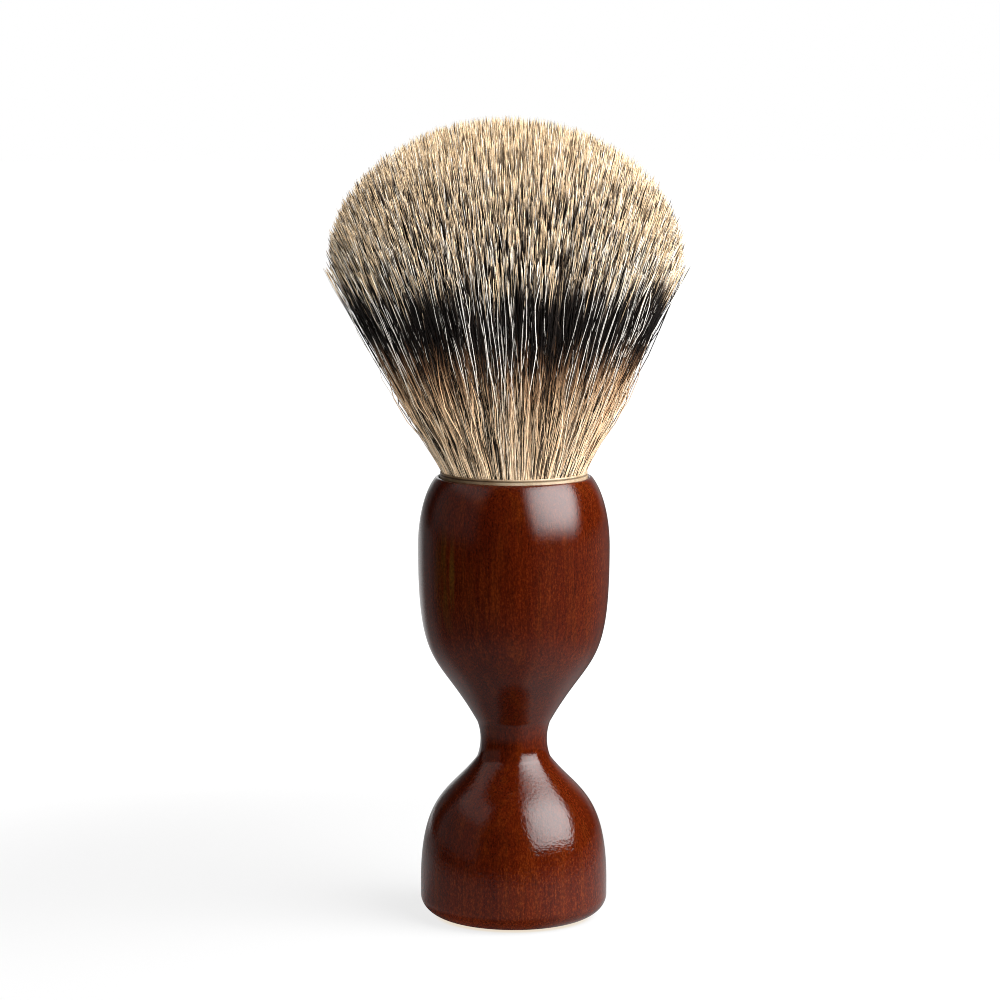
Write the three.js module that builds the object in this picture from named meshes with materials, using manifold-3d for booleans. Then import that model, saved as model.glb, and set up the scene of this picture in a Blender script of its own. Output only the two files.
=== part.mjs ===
// A shaving brush that stands on its foot: a turned wooden handle, a resin collar, and a fan
// of badger hair whose roots are bound with thread, potted in resin and glued into the handle.
// Millimetres, +Z up, with the origin at the centre of the handle's underside.

import * as THREE from 'three';
import { mergeVertices } from 'three/addons/utils/BufferGeometryUtils.js';
import Module from 'manifold-3d';

const wasm = await Module();
wasm.setup();

// Knot: the collar's outside is the size that the brush is sold by
const collarRadius = 10.5;
const collarWall = 0.7;
const collarRise = 0.9;
const lipWall = 0.3;
const lipHeight = 0.25;
const lipFlareDepth = 2;
const grooveWidth = 0.15;
const grooveDepth = 0.15;

// Socket bored into the top of the handle for the knot
const socketClearance = 0.45;
const socketDepth = 14;
const mouthLand = 0.25;
const bondGap = 0.08;
const adhesiveBed = 1;
const adhesiveRecess = 1.4;

// Handle outline, from the foot up: each height stands on the one before it
const footRadius = 13.4;
const footHeight = 5;
const footEdgeRun = 4.4;
const footEdgeRise = 3.2;
const bellHeight = 18.2;
const neckRadius = 4.78;
const coveRadius = 7.5;
const coveBelow = 2.65;
const coveAbove = 2.55;
const cupHeight = 25.3;
const shoulderRun = 2.5;
const shoulderHeight = 9.9;
const shoulderAngle = THREE.MathUtils.degToRad(62);

// The curves lift off the wide end straight up, and lean in to the neck over the reach
const bellShares = { lift: 0.71, drop: 0.28, reach: 0.47 };
const cupShares = { lift: 0.41, drop: 0.71, reach: 0.69 };

// Root plug and the thread wound round it
const threadDiameter = 0.5;
const threadGap = 0.5;
const threadTurns = 4;
const windingChamfer = 0.4;

// Hair: rows of strands round a central one, set in a bed of potting resin, where each row has
// more strands than the row inside it. A strand runs straight out past the lip to its belly,
// then bends in to a tip on the dome.
const hairSeatDepth = 0.9;
const hairBedDepth = 2;
const hairBedGap = 0.3;
const hairRows = 9;
const strandsPerRow = 7;
const strandSink = 0.3;
const strandClearance = 0.12;
const crownRadius = 25;
const crownHeight = 31;
const domeHeight = 19.2;
const bellyDrop = 1.6;
const bellyRise = 11;
const strandStagger = 1.6;
const tipAngle = THREE.MathUtils.degToRad(64);

// Width of a strand at its root and at its belly, as shares of the pitch of the rows
const strandWidthShares = { root: 0.33, belly: 1.06 };
const strandSides = 3;

// Each row starts this share of a turn on from the row inside it
const rowTurnShare = 0.382;

const turnedSegments = 48;
const bedSegments = 12;
const curveSteps = 11;
const arcSteps = 6;

// Radii and heights that follow from the sizes above
const socketRadius = collarRadius + socketClearance;
const mouthRadius = socketRadius + mouthLand;
const cupRadius = mouthRadius + shoulderRun;
const bellTop = footHeight + bellHeight;
const neckHeight = bellTop + coveBelow;
const cupBottom = neckHeight + coveAbove;
const cupTop = cupBottom + cupHeight;
const handleHeight = cupTop + shoulderHeight;
const socketFloor = handleHeight - socketDepth;
const knotBottom = socketFloor + adhesiveBed;
const collarTop = handleHeight + collarRise;
const collarBore = collarRadius - collarWall;
const lipBore = collarRadius - lipWall;
const hairBedTop = handleHeight - hairSeatDepth;
const hairBedBottom = hairBedTop - hairBedDepth;
const plugRadius = collarBore - bondGap;

const group = new THREE.Group();

function addPiece(name, geometry, color, roughness) {
  const material = new THREE.MeshStandardMaterial({ color, roughness, metalness: 0 });
  const mesh = new THREE.Mesh(geometry, material);
  mesh.name = name;
  group.add(mesh);
}

// A solid of revolution about Z, from a profile of (radius, height) points
function turned(profile) {
  const geometry = new THREE.LatheGeometry(profile, turnedSegments);
  geometry.rotateX(Math.PI / 2);
  return geometry;
}

// Evenly spaced points along part of an ellipse, from one angle to another
function ellipsePoints(centre, run, rise, from, to, steps) {
  const arc = new THREE.EllipseCurve(centre.x, centre.y, run, rise, from, to, from > to);
  return arc.getPoints(steps);
}

function point(radius, height) {
  return new THREE.Vector2(radius, height);
}

// Half the width of the neck at a distance above or below its narrowest place
function coveRadiusAt(offset) {
  return neckRadius + coveRadius - Math.sqrt(coveRadius ** 2 - offset ** 2);
}

function footEdge() {
  const centre = point(footRadius - footEdgeRun, footEdgeRise);
  return ellipsePoints(centre, footEdgeRun, footEdgeRise, -Math.PI / 2, 0, arcSteps);
}

function bell() {
  const top = point(coveRadiusAt(coveBelow), bellTop);
  const lean = (footRadius - top.x) * bellShares.reach;
  const curve = new THREE.CubicBezierCurve(
    point(footRadius, footHeight),
    point(footRadius, footHeight + bellHeight * bellShares.lift),
    point(top.x + lean, bellTop - bellHeight * bellShares.drop),
    top,
  );
  return curve.getPoints(curveSteps);
}

// The cove is a hollow cut round the neck, and meets the bell and the cup in crisp edges
function cove() {
  const centre = point(neckRadius + coveRadius, neckHeight);
  const from = Math.PI + Math.asin(coveBelow / coveRadius);
  const to = Math.PI - Math.asin(coveAbove / coveRadius);
  return ellipsePoints(centre, coveRadius, coveRadius, from, to, arcSteps).slice(1, -1);
}

function cup() {
  const bottom = point(coveRadiusAt(coveAbove), cupBottom);
  const lean = (cupRadius - bottom.x) * cupShares.reach;
  const curve = new THREE.CubicBezierCurve(
    bottom,
    point(bottom.x + lean, cupBottom + cupHeight * cupShares.lift),
    point(cupRadius, cupTop - cupHeight * cupShares.drop),
    point(cupRadius, cupTop),
  );
  return curve.getPoints(curveSteps);
}

function shoulder() {
  const run = shoulderRun / (1 - Math.cos(shoulderAngle));
  const rise = shoulderHeight / Math.sin(shoulderAngle);
  const centre = point(cupRadius - run, cupTop);
  return ellipsePoints(centre, run, rise, 0, shoulderAngle, arcSteps).slice(1);
}

function handle() {
  return turned([
    point(0, 0),
    ...footEdge(),
    ...bell(),
    ...cove(),
    ...cup(),
    ...shoulder(),
    point(socketRadius, handleHeight),
    point(socketRadius, socketFloor),
    point(0, socketFloor),
  ]);
}

// A cup of adhesive on the socket's floor and up its wall, short of the mouth
function socketAdhesive() {
  const outside = socketRadius - bondGap;
  const inside = collarRadius + bondGap;
  const top = handleHeight - adhesiveRecess;
  return turned([
    point(0, socketFloor),
    point(outside, socketFloor),
    point(outside, top),
    point(inside, top),
    point(inside, knotBottom),
    point(0, knotBottom),
  ]);
}

// The collar: a sleeve round the roots, with a band, a groove and a thin lip above the wood
function collar() {
  const grooveTop = collarTop - lipHeight;
  const grooveBottom = grooveTop - grooveWidth;
  const grooveRadius = collarRadius - grooveDepth;
  return turned([
    point(collarBore, knotBottom),
    point(collarRadius, knotBottom),
    point(collarRadius, grooveBottom),
    point(grooveRadius, grooveBottom),
    point(grooveRadius, grooveTop),
    point(collarRadius, grooveTop),
    point(collarRadius, collarTop - lipHeight / 2),
    point(collarRadius - lipWall / 2, collarTop),
    point(lipBore, collarTop),
    point(collarBore, collarTop - lipFlareDepth),
    point(collarBore, knotBottom),
  ]);
}

const threadPitch = threadDiameter + threadGap;
const windingLength = threadTurns * threadPitch;
const windingMiddle = (knotBottom + hairBedBottom) / 2;
const waistRadius = plugRadius - threadDiameter - bondGap;
const threadPathRadius = waistRadius + bondGap + threadDiameter / 2;

// The hardened plug that holds the roots, with a waist where the thread draws them in
function rootPlug() {
  const halfWaist = (windingLength + threadPitch) / 2;
  const waistTop = windingMiddle + halfWaist;
  const waistBottom = windingMiddle - halfWaist;
  return turned([
    point(0, knotBottom),
    point(plugRadius, knotBottom),
    point(plugRadius, waistBottom - windingChamfer),
    point(waistRadius, waistBottom),
    point(waistRadius, waistTop),
    point(plugRadius, waistTop + windingChamfer),
    point(plugRadius, hairBedBottom),
    point(0, hairBedBottom),
  ]);
}

class Winding extends THREE.Curve {
  getPoint(share, target = new THREE.Vector3()) {
    const angle = share * threadTurns * 2 * Math.PI;
    return target.set(
      threadPathRadius * Math.cos(angle),
      threadPathRadius * Math.sin(angle),
      windingMiddle + (share - 0.5) * windingLength,
    );
  }
}

const stepsPerTurn = 24;
const threadSides = 6;

// The thread is one unbroken tube of six sides, wound as a helix
function bindingThread() {
  const section = new THREE.Shape();
  section.absarc(0, 0, threadDiameter / 2, 0, 2 * Math.PI);
  return new THREE.ExtrudeGeometry(section, {
    steps: threadTurns * stepsPerTurn,
    curveSegments: threadSides / 2,
    bevelEnabled: false,
    extrudePath: new Winding(),
  });
}

// Least gap between turns of the thread, from points at least half a turn apart
function leastThreadGap() {
  const points = new Winding().getPoints(threadTurns * stepsPerTurn);
  let least = Infinity;
  points.forEach((first, index) => {
    for (const second of points.slice(index + stepsPerTurn / 2)) {
      least = Math.min(least, first.distanceTo(second) - threadDiameter);
    }
  });
  return least;
}

// The outermost strands clear the bore of the lip, and the rows share out the knot inside them
const lipRowRadius = lipBore - strandClearance - collarRadius * strandWidthShares.root / hairRows;
const crownLevel = handleHeight + crownHeight;
const bellyWidth = lipRowRadius * strandWidthShares.belly / hairRows;
const bellyRadius = crownRadius - bellyWidth;
const bellyLevel = crownLevel - bellyDrop;
const outerSlope = (bellyRadius - lipRowRadius) / (bellyLevel - collarTop);
const rootHeight = hairBedTop - strandSink;
const rootRadius = lipRowRadius - outerSlope * (collarTop - rootHeight);
const rowPitch = rootRadius / hairRows;

// Places along a strand as radius, height and width. Its share runs from 0 at the centre of
// the knot to 1 in the outermost row. Its reach is how far its belly and tip stand out beyond
// the places that the whole row shares.
function strandStations(share, reach) {
  const root = point(rootRadius * share, rootHeight);
  const belly = point(bellyRadius * share, bellyLevel + bellyRise * Math.sqrt(1 - share ** 2));
  const tip = point(
    crownRadius * Math.sin(tipAngle * share),
    crownLevel + domeHeight * Math.cos(tipAngle * share),
  );
  const past = (from, to) => to.clone().add(to.clone().sub(from).setLength(reach));
  return [
    { at: root, width: rowPitch * strandWidthShares.root },
    { at: past(root, belly), width: bellyWidth },
    { at: past(belly, tip), width: 0 },
  ];
}

// Direction of travel at a station, from its neighbours, in radius and height
function travelAt(stations, index) {
  const before = stations[Math.max(index - 1, 0)].at;
  const after = stations[Math.min(index + 1, stations.length - 1)].at;
  return after.clone().sub(before).normalize();
}

// Adds one closed strand to a mesh: rings of corners, a flat root and a pointed tip
function addStrand(mesh, stations, azimuth) {
  const outward = new THREE.Vector3(Math.cos(azimuth), Math.sin(azimuth), 0);
  const sideways = new THREE.Vector3(-Math.sin(azimuth), Math.cos(azimuth), 0);
  const first = mesh.corners.length / 3;
  stations.slice(0, -1).forEach(({ at, width }, index) => {
    const travel = travelAt(stations, index);
    const facing = outward.clone().multiplyScalar(travel.y);
    facing.z = -travel.x;
    for (let side = 0; side < strandSides; side += 1) {
      const angle = (side / strandSides) * 2 * Math.PI;
      const corner = outward.clone().multiplyScalar(at.x);
      corner.z = at.y;
      corner.addScaledVector(facing, width * Math.cos(angle));
      corner.addScaledVector(sideways, width * Math.sin(angle));
      mesh.corners.push(...corner);
    }
  });
  const end = stations.at(-1).at;
  mesh.corners.push(outward.x * end.x, outward.y * end.x, end.y);

  const rings = stations.length - 1;
  const apex = first + rings * strandSides;
  for (let side = 1; side < strandSides - 1; side += 1) {
    mesh.faces.push(first, first + side + 1, first + side);
  }
  for (let ring = 0; ring < rings; ring += 1) {
    const low = first + ring * strandSides;
    const high = low + strandSides;
    for (let side = 0; side < strandSides; side += 1) {
      const next = (side + 1) % strandSides;
      if (high === apex) {
        mesh.faces.push(low + side, low + next, apex);
      } else {
        mesh.faces.push(low + side, low + next, high + next);
        mesh.faces.push(low + side, high + next, high + side);
      }
    }
  }
}

function solidFrom(corners, faces) {
  return new wasm.Manifold(new wasm.Mesh({
    numProp: 3,
    vertProperties: Float32Array.from(corners),
    triVerts: Uint32Array.from(faces),
  }));
}

// The slice of the resin bed under some rows, as a flat ring, or a disc for the middle rows
function bedSlice(firstRow, lastRow) {
  const outer = lastRow === hairRows
    ? plugRadius
    : rowPitch * (lastRow + 0.5) - hairBedGap / 2;
  const shape = new THREE.Shape();
  shape.absarc(0, 0, outer, 0, 2 * Math.PI);
  if (firstRow > 0) {
    const hole = new THREE.Path();
    hole.absarc(0, 0, rowPitch * (firstRow - 0.5) + hairBedGap / 2, 0, 2 * Math.PI);
    shape.holes.push(hole);
  }
  const geometry = new THREE.ExtrudeGeometry(shape, {
    depth: hairBedDepth,
    curveSegments: bedSegments,
    bevelEnabled: false,
  });
  geometry.translate(0, 0, hairBedBottom);
  geometry.deleteAttribute('normal');
  geometry.deleteAttribute('uv');
  const merged = mergeVertices(geometry);
  return solidFrom(merged.attributes.position.array, merged.index.array);
}

// Some rows of the hair, fused to their slice of the bed
function hairLayer(firstRow, lastRow) {
  const mesh = { corners: [], faces: [] };
  for (let row = firstRow; row <= lastRow; row += 1) {
    const count = Math.max(row * strandsPerRow, 1);
    for (let index = 0; index < count; index += 1) {
      const azimuth = (index / count + row * rowTurnShare) * 2 * Math.PI;
      const reach = (index % 2 === 0 ? strandStagger : -strandStagger) / 2;
      addStrand(mesh, strandStations(row / hairRows, reach), azimuth);
    }
  }
  const fused = bedSlice(firstRow, lastRow).add(solidFrom(mesh.corners, mesh.faces));
  const { vertProperties, triVerts } = fused.getMesh();
  const geometry = new THREE.BufferGeometry();
  geometry.setAttribute('position', new THREE.BufferAttribute(vertProperties, 3));
  geometry.setIndex(new THREE.BufferAttribute(triVerts, 1));
  geometry.computeVertexNormals();
  return geometry;
}

addPiece('handle', handle(), '#6b2411', 0.25);
addPiece('socket_adhesive', socketAdhesive(), '#b9a57c', 0.5);
addPiece('knot_collar', collar(), '#e2d3b4', 0.35);
addPiece('root_plug', rootPlug(), '#8d6b3c', 0.4);
addPiece('binding_thread', bindingThread(), '#cfc6b2', 0.9);

// Layers of the hair from the centre out, each with its last row as a share of all the rows
const hairLayers = [
  { name: 'hair_core', lastRowShare: 0.45, color: '#d5bd98' },
  { name: 'hair_inner', lastRowShare: 0.67, color: '#c7ab82' },
  { name: 'hair_middle', lastRowShare: 0.89, color: '#4a3626' },
  { name: 'hair_outer', lastRowShare: 1, color: '#9c7d58' },
];
let nextRow = 0;
for (const { name, lastRowShare, color } of hairLayers) {
  const lastRow = Math.round(hairRows * lastRowShare);
  addPiece(name, hairLayer(nextRow, lastRow), color, 0.75);
  nextRow = lastRow + 1;
}

console.log(`binding_thread: least gap to itself ${leastThreadGap().toFixed(2)} mm`);

export default group;
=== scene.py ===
import math

import bpy
import numpy as np
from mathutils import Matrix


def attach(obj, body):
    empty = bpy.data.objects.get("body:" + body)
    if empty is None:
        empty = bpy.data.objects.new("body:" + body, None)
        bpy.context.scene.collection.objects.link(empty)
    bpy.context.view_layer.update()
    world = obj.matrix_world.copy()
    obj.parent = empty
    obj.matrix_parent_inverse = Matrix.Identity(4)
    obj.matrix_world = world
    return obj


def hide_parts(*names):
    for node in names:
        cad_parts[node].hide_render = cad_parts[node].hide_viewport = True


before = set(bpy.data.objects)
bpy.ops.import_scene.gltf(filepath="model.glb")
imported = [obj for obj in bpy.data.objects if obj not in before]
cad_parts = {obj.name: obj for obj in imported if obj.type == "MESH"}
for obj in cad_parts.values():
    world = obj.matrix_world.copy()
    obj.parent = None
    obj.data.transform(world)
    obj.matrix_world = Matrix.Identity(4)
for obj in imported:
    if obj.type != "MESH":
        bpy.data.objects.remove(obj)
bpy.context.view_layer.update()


# Handle.
# One piece of close-grained hardwood, turned on a lathe to a bell foot, a narrow neck and a cup.
# It is stained red-brown, bored at the top for the knot, and dipped in clear gloss lacquer.
mm = 0.001
foot_radius = 13.4 * mm
foot_height = 5 * mm
foot_edge_run = 4.4 * mm
foot_edge_rise = 3.2 * mm
bell_height = 18.2 * mm
bell_side_share = 0.71
bell_flare_share = 0.47
bell_sweep_share = 0.28
neck_radius = 4.78 * mm
cove_radius = 7.5 * mm
cove_below = 2.65 * mm
cove_above = 2.55 * mm
cup_radius = 13.7 * mm
cup_height = 25.3 * mm
cup_flare_share = 0.69
cup_sweep_share = 0.41
cup_side_share = 0.71
shoulder_run = 2.5 * mm
shoulder_height = 9.9 * mm
shoulder_angle = math.radians(62)
socket_radius = 10.95 * mm
socket_depth = 14 * mm
mouth_radius = 10.64 * mm
mouth_depth = 0.8 * mm
mouth_rise = 0.16 * mm
mouth_crown_share = 1.5
mouth_outer_pull = 0.12 * mm
mouth_inner_pull = 0.08 * mm
turning_segments = 256

bell_top = foot_height + bell_height
neck_height = bell_top + cove_below
cup_bottom = neck_height + cove_above
cup_top = cup_bottom + cup_height
handle_height = cup_top + shoulder_height

fibre_depth = 0.02 * mm
coat_wave_depth = 0.018 * mm
bumps_fade = (20 * mm, 27 * mm)
dimples_grow = (36 * mm, 48 * mm)
# Place and size of a painted sheen, a greenish streak on the left of the cup.
sheen_streak_place = (-9.6 * mm, -9.6 * mm, 50 * mm)
sheen_streak_size = (2.4 * mm, 5 * mm, 9 * mm)


def arc_points(centre, radii, start, end, steps):
    """Points on part of an ellipse, from one angle to another."""
    turns = np.linspace(start, end, steps + 1)
    across = centre[0] + radii[0] * np.cos(turns)
    upward = centre[1] + radii[1] * np.sin(turns)
    return np.stack([across, upward], axis=1)


def swept_points(start, first_pull, second_pull, end, steps):
    """Points on the curve that a turner's gouge would follow between two places."""
    gone = np.linspace(0, 1, steps + 1)[:, None]
    left = 1 - gone
    corners = [np.array(corner) for corner in (start, first_pull, second_pull, end)]
    weights = [left**3, 3 * left**2 * gone, 3 * left * gone**2, gone**3]
    return sum(weight * corner for weight, corner in zip(weights, corners))


def cove_reach(offset):
    """Radius of the neck's hollow at a height above or below its narrowest place."""
    return neck_radius + cove_radius - math.sqrt(cove_radius**2 - offset**2)


def foot_and_bell():
    """Outline of the foot's rounded edge and of the bell that rises from it to the neck."""
    edge = arc_points(
        (foot_radius - foot_edge_run, foot_edge_rise),
        (foot_edge_run, foot_edge_rise),
        -math.pi / 2,
        0,
        steps=24,
    )
    top = cove_reach(cove_below)
    flare = (foot_radius - top) * bell_flare_share
    bell = swept_points(
        (foot_radius, foot_height),
        (foot_radius, foot_height + bell_height * bell_side_share),
        (top + flare, bell_top - bell_height * bell_sweep_share),
        (top, bell_top),
        steps=56,
    )
    return np.concatenate([edge, bell])


def neck_and_cup():
    """Outline of the hollow neck, and of the cup up to its widest place."""
    cove = arc_points(
        (neck_radius + cove_radius, neck_height),
        (-cove_radius, cove_radius),
        -math.asin(cove_below / cove_radius),
        math.asin(cove_above / cove_radius),
        steps=20,
    )
    bottom = cove_reach(cove_above)
    flare = (cup_radius - bottom) * cup_flare_share
    cup = swept_points(
        (bottom, cup_bottom),
        (bottom + flare, cup_bottom + cup_height * cup_sweep_share),
        (cup_radius, cup_top - cup_height * cup_side_share),
        (cup_radius, cup_top),
        steps=64,
    )
    return np.concatenate([cove[1:], cup[1:]])


def shoulder_and_socket():
    """Outline of the cup's rounded shoulder, its rolled mouth and the bored socket."""
    run = shoulder_run / (1 - math.cos(shoulder_angle))
    rise = shoulder_height / math.sin(shoulder_angle)
    shoulder = arc_points((cup_radius - run, cup_top), (run, rise), 0, shoulder_angle, steps=40)
    mouth = swept_points(
        (cup_radius - run * (1 - math.cos(shoulder_angle)), handle_height),
        (socket_radius + mouth_outer_pull, handle_height + mouth_rise),
        (mouth_radius + mouth_inner_pull, handle_height + mouth_crown_share * mouth_rise),
        (mouth_radius, handle_height),
        steps=12,
    )
    under_mouth = handle_height - mouth_depth
    socket_floor = handle_height - socket_depth
    socket = [(mouth_radius, under_mouth), (socket_radius, under_mouth)]
    socket += [(socket_radius, socket_floor), (0, socket_floor)]
    return np.concatenate([shoulder[1:-1], mouth, socket])


def handle_outline():
    """Half outline of the handle, from the middle of its underside to the floor of its socket."""
    return np.concatenate([[(0, 0)], foot_and_bell(), neck_and_cup(), shoulder_and_socket()])


def add_object(name, data):
    """Puts a mesh, a lamp or a camera into the scene."""
    made = bpy.data.objects.new(name, data)
    bpy.context.scene.collection.objects.link(made)
    return made


def turned_mesh(name, outline, segments, closed=False):
    """Spins a half outline about the upright axis, as a lathe does, into a mesh without seams."""
    on_axis = 1e-9
    vertices = []
    faces = []
    rings = []
    for across, upward in outline:
        first = len(vertices)
        if across < on_axis:
            vertices.append((0, 0, upward))
            rings.append([first] * segments)
            continue
        for step in range(segments):
            turn = 2 * math.pi * step / segments
            vertices.append((across * math.cos(turn), across * math.sin(turn), upward))
        rings.append(list(range(first, first + segments)))
    pairs = list(zip(rings, rings[1:]))
    if closed:
        pairs.append((rings[-1], rings[0]))
    for lower, upper in pairs:
        for step in range(segments):
            after = (step + 1) % segments
            corners = [lower[step], lower[after], upper[after], upper[step]]
            face = list(dict.fromkeys(corners))
            if len(face) > 2:
                faces.append(face)
    mesh = bpy.data.meshes.new(name)
    mesh.from_pydata(vertices, [], faces)
    mesh.validate()
    mesh.shade_smooth()
    return add_object(name, mesh)


def crisp_edges(piece, degrees):
    """Keeps edges sharper than this angle crisp and rounds off the look of the rest."""
    piece.data.set_sharp_from_angle(angle=math.radians(degrees))


def start_material(name):
    """A new material with its node tree and its one surface shader."""
    material = bpy.data.materials.new(name)
    material.use_nodes = True
    tree = material.node_tree
    return material, tree, tree.nodes["Principled BSDF"]


def add_node(tree, kind, inputs=None, **settings):
    """Adds a shader node, sets its options, and sets or links its inputs."""
    made = tree.nodes.new("ShaderNode" + kind)
    for option, value in settings.items():
        setattr(made, option, value)
    for socket, value in (inputs or {}).items():
        if isinstance(value, bpy.types.NodeSocket):
            tree.links.new(value, made.inputs[socket])
        else:
            made.inputs[socket].default_value = value
    return made


def math_node(tree, operation, *values):
    """One sum on one, two or three values, each a number or another node's output."""
    return add_node(tree, "Math", dict(enumerate(values)), operation=operation).outputs[0]


def product(tree, first, *others):
    """All these values multiplied together."""
    for other in others:
        first = math_node(tree, "MULTIPLY", first, other)
    return first


def total(tree, first, *others):
    """All these values added up."""
    for other in others:
        first = math_node(tree, "ADD", first, other)
    return first


def spread(tree, value, low, high, to_low=0.0, to_high=1.0):
    """Stretches the part of a value between low and high smoothly over a new range."""
    inputs = {"Value": value, 1: low, 2: high, 3: to_low, 4: to_high}
    return add_node(tree, "MapRange", inputs, interpolation_type="SMOOTHSTEP").outputs["Result"]


def blend_colours(tree, share, first, second, how="MIX"):
    """Mixes two colours; each, and the share of the second, may be a value or an output."""
    inputs = {0: share, 6: first, 7: second}
    return add_node(tree, "Mix", inputs, data_type="RGBA", blend_type=how).outputs[2]


def scaled_colour(tree, tone, shade):
    """A colour made lighter or darker by a value."""
    return add_node(tree, "VectorMath", {0: tone, "Scale": shade}, operation="SCALE").outputs[0]


def surface_place(tree):
    """The place on a piece in metres, from the middle of the brush's underside."""
    return add_node(tree, "TexCoord").outputs["Object"]


def split_place(tree, place):
    """The three parts of a place: to the right, to the back and upward."""
    parts = add_node(tree, "SeparateXYZ", {0: place}).outputs
    return parts[0], parts[1], parts[2]


def drawn_out(tree, place, upright_share):
    """The same place with its heights scaled down, so that a pattern laid on it runs upright."""
    return add_node(tree, "Mapping", {"Vector": place, "Scale": (1, 1, upright_share)}).outputs[0]


def streaks(tree, place, scale, detail=4, roughness=0.6):
    """Noise of one scale, in cycles per metre, at a place given in metres."""
    inputs = {"Vector": place, "Scale": scale, "Detail": detail, "Roughness": roughness}
    return add_node(tree, "TexNoise", inputs).outputs["Fac"]


def small_hills(tree, height, depth):
    """Turns a height pattern into small hills of that depth in metres."""
    return add_node(tree, "Bump", {"Height": height, "Distance": depth}).outputs["Normal"]


def give_surface(tree, shader, tone, roughness, hills):
    """Hands a piece's colour, roughness and small hills to its shader."""
    tree.links.new(tone, shader.inputs["Base Color"])
    tree.links.new(roughness, shader.inputs["Roughness"])
    tree.links.new(hills, shader.inputs["Normal"])


def painted_sheen_streak(tree, place, grain):
    """Share of the painted sheen, a greenish streak at the left of the cup, which fades out round its
    middle.
    """
    inputs = {"Vector": place, "Location": sheen_streak_place, "Scale": sheen_streak_size}
    streak_place = add_node(tree, "Mapping", inputs, vector_type="TEXTURE").outputs[0]
    off_middle = add_node(tree, "VectorMath", {0: streak_place}, operation="LENGTH").outputs["Value"]
    return product(tree, spread(tree, off_middle, 0.3, 1.0, 0.85, 0.0), spread(tree, grain, 0.35, 0.6))


def stained_grain(tree, place, fine, pores):
    """Colour of the stained wood, with slow streaks, fine fibres, dark pores and golden flecks, and a
    painted greenish sheen at the left of the cup.
    """
    dark_stain = (0.058, 0.0054, 0.0008, 1)
    red_stain = (0.079, 0.0083, 0.0011, 1)
    warm_stain = (0.101, 0.015, 0.0018, 1)
    golden_wood = (0.135, 0.033, 0.007, 1)
    painted_sheen_green = (0.095, 0.042, 0.006, 1)
    along = drawn_out(tree, place, 0.07)
    slow = streaks(tree, along, 170, detail=3)
    medium = streaks(tree, along, 760, detail=4)
    cloud = streaks(tree, place, 45, detail=2)
    flecks = streaks(tree, drawn_out(tree, place, 0.55), 4000, detail=2, roughness=0.7)
    tone = blend_colours(tree, spread(tree, slow, 0.34, 0.66), dark_stain, red_stain)
    tone = blend_colours(tree, spread(tree, medium, 0.42, 0.8), tone, warm_stain)
    flecked = spread(tree, flecks, 0.52, 0.7, 0.0, 0.34)
    golden = product(tree, flecked, spread(tree, cloud, 0.42, 0.62, 0.25, 1.0))
    tone = blend_colours(tree, golden, tone, golden_wood)
    # Painted sheen: a greenish streak at the left of the cup.
    tone = blend_colours(tree, painted_sheen_streak(tree, place, medium), tone, painted_sheen_green)
    patchy = spread(tree, cloud, 0.3, 0.7, 0.86, 1.12)
    fibre_shade = spread(tree, fine, 0.3, 0.7, 0.78, 1.2)
    pore_shade = math_node(tree, "MULTIPLY_ADD", pores, -0.22, 1.0)
    fleck_shade = spread(tree, flecks, 0.32, 0.68, 0.66, 1.24)
    return scaled_colour(tree, tone, product(tree, patchy, fibre_shade, pore_shade, fleck_shade))


def coat_waves(tree, place):
    """Hills of the lacquer: bumps like orange peel on the bell, and fine dimples, weaker low down."""
    height = split_place(tree, place)[2]
    bumps = streaks(tree, place, 2000, detail=2, roughness=0.6)
    bumps = product(tree, bumps, spread(tree, height, *bumps_fade, 2.0, 0.2))
    dimples = streaks(tree, place, 6500, detail=1, roughness=0.5)
    dimples = product(tree, dimples, spread(tree, height, *dimples_grow, 0.3, 1.0))
    return small_hills(tree, total(tree, bumps, dimples), coat_wave_depth)


def lacquered_wood():
    """Stained hardwood under a clear, slightly rippled coat."""
    material, tree, shader = start_material("lacquered_wood")
    place = surface_place(tree)
    fine = streaks(tree, drawn_out(tree, place, 0.035), 3800, detail=3, roughness=0.7)
    pores = spread(tree, streaks(tree, drawn_out(tree, place, 0.12), 2600, detail=1), 0.67, 0.74)
    fibre_relief = math_node(tree, "MULTIPLY_ADD", pores, -0.8, fine)
    give_surface(
        tree,
        shader,
        stained_grain(tree, place, fine, pores),
        spread(tree, fine, 0.2, 0.8, 0.42, 0.56),
        small_hills(tree, fibre_relief, fibre_depth),
    )
    tree.links.new(coat_waves(tree, place), shader.inputs["Coat Normal"])
    shader.inputs["Specular IOR Level"].default_value = 0.0
    shader.inputs["Coat Weight"].default_value = 1.0
    shader.inputs["Coat Roughness"].default_value = 0.045
    shader.inputs["Coat IOR"].default_value = 1.5
    return material


handle = turned_mesh("handle_turned", handle_outline(), turning_segments)
crisp_edges(handle, degrees=40)
handle.data.materials.append(lacquered_wood())
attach(handle, "root")
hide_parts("handle")


# Socket adhesive.
# A bed of set epoxy in the bored socket, under the knot and up its sides.
# It is amber-grey and slightly cloudy, with small trapped bubbles.
bubble_depth = 0.05 * mm


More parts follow.
